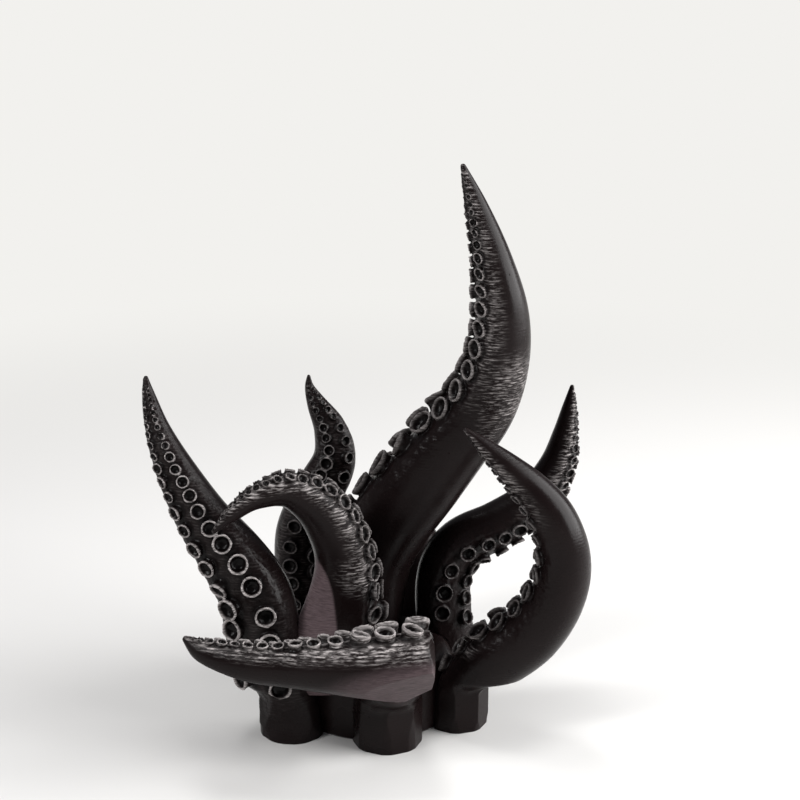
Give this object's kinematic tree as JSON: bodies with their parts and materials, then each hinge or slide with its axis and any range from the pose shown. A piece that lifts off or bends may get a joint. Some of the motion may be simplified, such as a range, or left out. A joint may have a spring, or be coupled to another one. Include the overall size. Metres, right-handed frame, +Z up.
{
  "type": "octopus arm figurine",
  "caption": "Free-standing black printed ornament of curling octopus arms with rows of suckers, rising from short round feet about a hidden hub.",
  "frame": {"origin": "centre of the hub's flat underside, on the surface that the figurine stands on", "axes": "+Z up, -Y towards the viewer of the picture, +X to that viewer's right"},
  "size_m": [0.1535, 0.123, 0.2008],
  "materials": {
    "arm_print": "satin black printed plastic with fine layer lines and worn grey sucker rims",
    "hub_print": "black printed plastic with fine layer lines",
    "peg_print": "plain black printed plastic"
  },
  "bodies": {
    "root": {"tall_arm": "arm_print", "left_arm": "arm_print", "arch_arm": "arm_print", "front_arm": "arm_print", "right_front_arm": "arm_print", "right_rear_arm": "arm_print", "back_arm": "arm_print", "back_left_arm": "arm_print", "root_hub": "hub_print", "keyed_pegs": "peg_print"}
  },
  "joints": []
}
